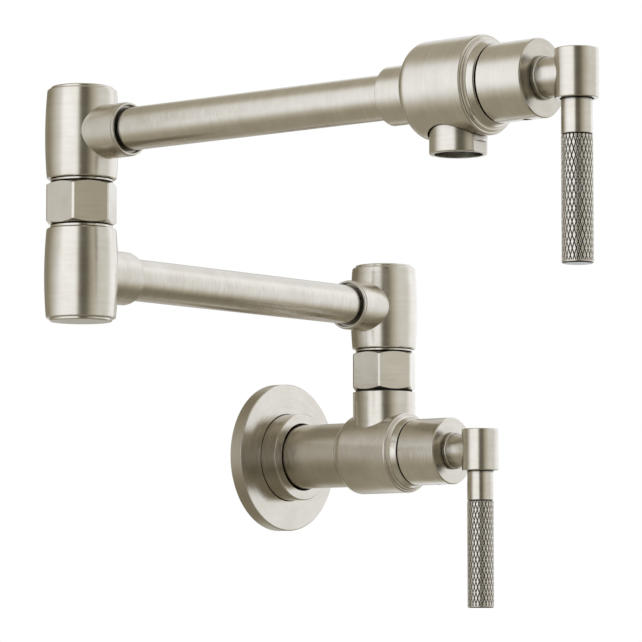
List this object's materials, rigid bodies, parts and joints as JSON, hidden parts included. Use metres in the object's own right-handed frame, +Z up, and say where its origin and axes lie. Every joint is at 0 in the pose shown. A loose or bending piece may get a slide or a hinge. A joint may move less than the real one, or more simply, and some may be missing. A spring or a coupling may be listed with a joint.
{
  "type": "wall mounted pot filler",
  "caption": "Wall mounted pot filler: a jointed swing arm with a quarter-turn valve and knurled lever handle at each end.",
  "frame": {"origin": "on the wall surface, at the mouth of the inlet, on the axis of the base valve", "axes": "+Y into the wall, so the filler stands out along -Y; +Z up; at rest the lower arm lies along the wall to -X and the upper arm points away from the wall"},
  "size_m": [0.3363, 0.4232, 0.2825],
  "materials": {
    "brushed_nickel": "satin brushed nickel plate",
    "raw_brass": "turned, unplated",
    "ceramic": "lapped, opaque",
    "rubber": "matte",
    "plastic": "moulded",
    "steel": "bright stainless"
  },
  "bodies": {
    "base": {"wall_gasket": "rubber", "wall_plate": "brushed_nickel", "raised_ring": "brushed_nickel", "ring_seal": "rubber", "wall_sleeve": "brushed_nickel", "inlet_shank": "raw_brass", "base_valve_body": "brushed_nickel", "base_bezel": "brushed_nickel", "base_bonnet_nut": "raw_brass", "base_cartridge_housing": "raw_brass", "base_seat_seal": "rubber", "base_fixed_disc": "ceramic", "post_gasket": "rubber", "base_hex_nut": "brushed_nickel", "base_spindle": "raw_brass", "base_swivel_seals": "rubber", "base_glide_washer": "brushed_nickel", "base_swivel_clip": "steel"},
    "base_handle": {"base_moving_disc": "ceramic", "base_stem": "raw_brass", "base_stem_seals": "rubber", "base_stem_clip": "steel", "base_handle_skirt": "brushed_nickel", "base_set_screw": "steel", "base_handle_hub": "brushed_nickel", "base_lever_rod": "brushed_nickel", "base_lever_grip": "brushed_nickel"},
    "lower_arm": {"base_barrel": "brushed_nickel", "base_barrel_cap": "brushed_nickel", "lower_arm_tube": "brushed_nickel", "elbow_lower_barrel": "brushed_nickel", "elbow_lower_cap": "brushed_nickel", "elbow_spacer_ring": "brushed_nickel", "elbow_hex_nut": "brushed_nickel", "elbow_spindle": "raw_brass", "elbow_swivel_seals": "rubber", "elbow_glide_washer": "brushed_nickel", "elbow_swivel_clip": "steel"},
    "upper_arm": {"elbow_upper_barrel": "brushed_nickel", "elbow_upper_cap": "brushed_nickel", "upper_arm_tube": "brushed_nickel", "outlet_ferrule": "brushed_nickel", "outlet_valve_body": "brushed_nickel", "outlet_bezel": "brushed_nickel", "outlet_bonnet_nut": "raw_brass", "outlet_cartridge_housing": "raw_brass", "outlet_seat_seal": "rubber", "outlet_fixed_disc": "ceramic", "outlet_collar": "brushed_nickel", "flow_straightener": "plastic", "straightener_gasket": "rubber"},
    "outlet_handle": {"outlet_moving_disc": "ceramic", "outlet_stem": "raw_brass", "outlet_stem_seals": "rubber", "outlet_stem_clip": "steel", "outlet_handle_skirt": "brushed_nickel", "outlet_set_screw": "steel", "outlet_handle_hub": "brushed_nickel", "outlet_lever_rod": "brushed_nickel", "outlet_lever_grip": "brushed_nickel"}
  },
  "joints": [
    {"name": "base_swivel", "type": "hinge", "parent": "base", "child": "lower_arm", "pos_m": [0, -0.0832, 0.0874], "axis": [0, 0, 1], "range_deg": [0, 180]},
    {"name": "elbow_swivel", "type": "hinge", "parent": "lower_arm", "child": "upper_arm", "pos_m": [-0.2662, -0.0832, 0.1636], "axis": [0, 0, 1], "range_deg": [-270, 90]},
    {"name": "base_handle_turn", "type": "hinge", "parent": "base", "child": "base_handle", "pos_m": [0, -0.102, 0], "axis": [0, -1, 0], "range_deg": [0, 90]},
    {"name": "outlet_handle_turn", "type": "hinge", "parent": "upper_arm", "child": "outlet_handle", "pos_m": [-0.2662, -0.3591, 0.1636], "axis": [0, -1, 0], "range_deg": [0, 90]}
  ]
}
